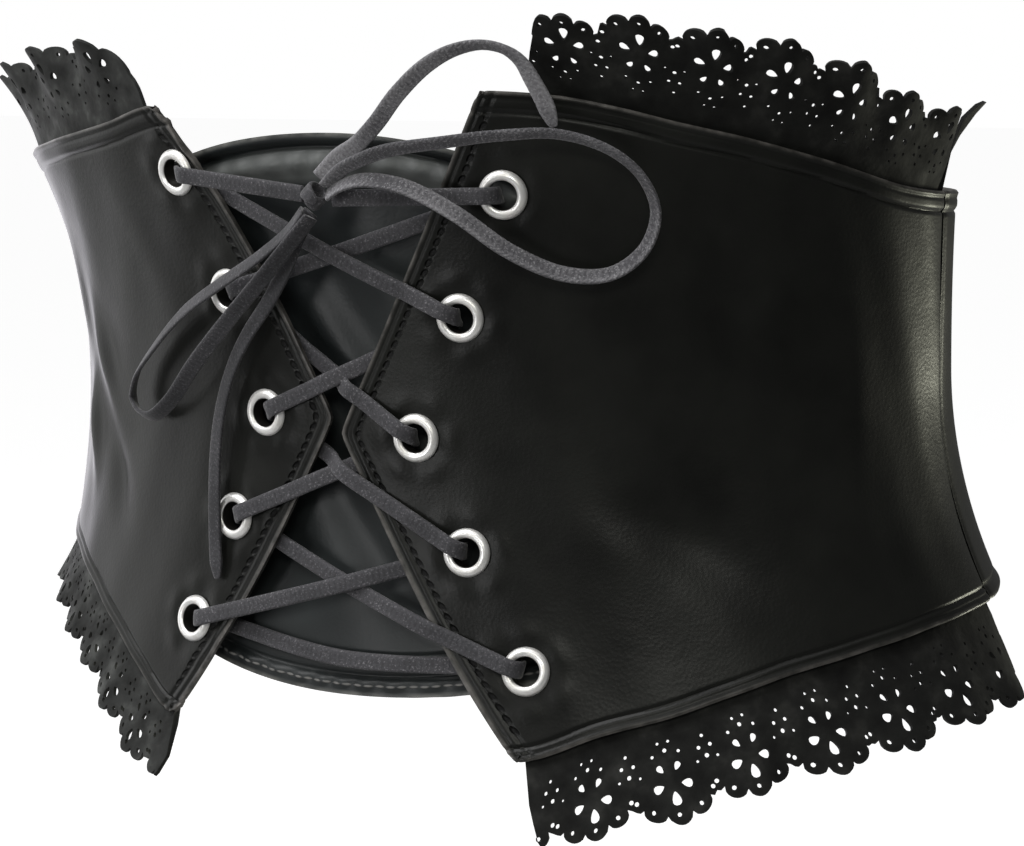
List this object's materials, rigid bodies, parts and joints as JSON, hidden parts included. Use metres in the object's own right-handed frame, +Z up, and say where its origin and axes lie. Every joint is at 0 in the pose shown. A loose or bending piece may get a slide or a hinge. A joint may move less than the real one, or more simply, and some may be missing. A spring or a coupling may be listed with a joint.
{
  "type": "corset belt",
  "caption": "Wide waist belt closed in front by cord laced through eyelets over a modesty panel and tied in a bow, with pierced scalloped trim above and below the panels.",
  "frame": {"origin": "middle of the waist hollow, level with the meeting tips of the two front panels", "axes": "+Z up as worn, -Y the laced front, +X the side on the viewer's right; the belt stands round the Z axis"},
  "size_m": [0.2815, 0.1759, 0.1838],
  "materials": {
    "panel": "smooth satin black faux leather",
    "modesty": "smooth satin dark blue-grey faux leather",
    "trim": "thin matt black faux leather, pierced",
    "cord": "flat braided dark grey cord",
    "metal": "polished nickel plate"
  },
  "bodies": {
    "root": {"panel_right": "panel", "panel_left": "panel", "back_panel": "panel", "modesty_panel": "modesty", "trim_top_right": "trim", "trim_top_left": "trim", "trim_bottom_right": "trim", "trim_bottom_left": "trim", "eyelet_right_1": "metal", "eyelet_right_2": "metal", "eyelet_right_3": "metal", "eyelet_right_4": "metal", "eyelet_right_5": "metal", "eyelet_left_1": "metal", "eyelet_left_2": "metal", "eyelet_left_3": "metal", "eyelet_left_4": "metal", "eyelet_left_5": "metal", "lacing": "cord", "bow_knot": "cord", "bow_loop_right": "cord", "bow_loop_left": "cord", "bow_tail_up": "cord", "bow_tail_down": "cord"}
  },
  "joints": []
}
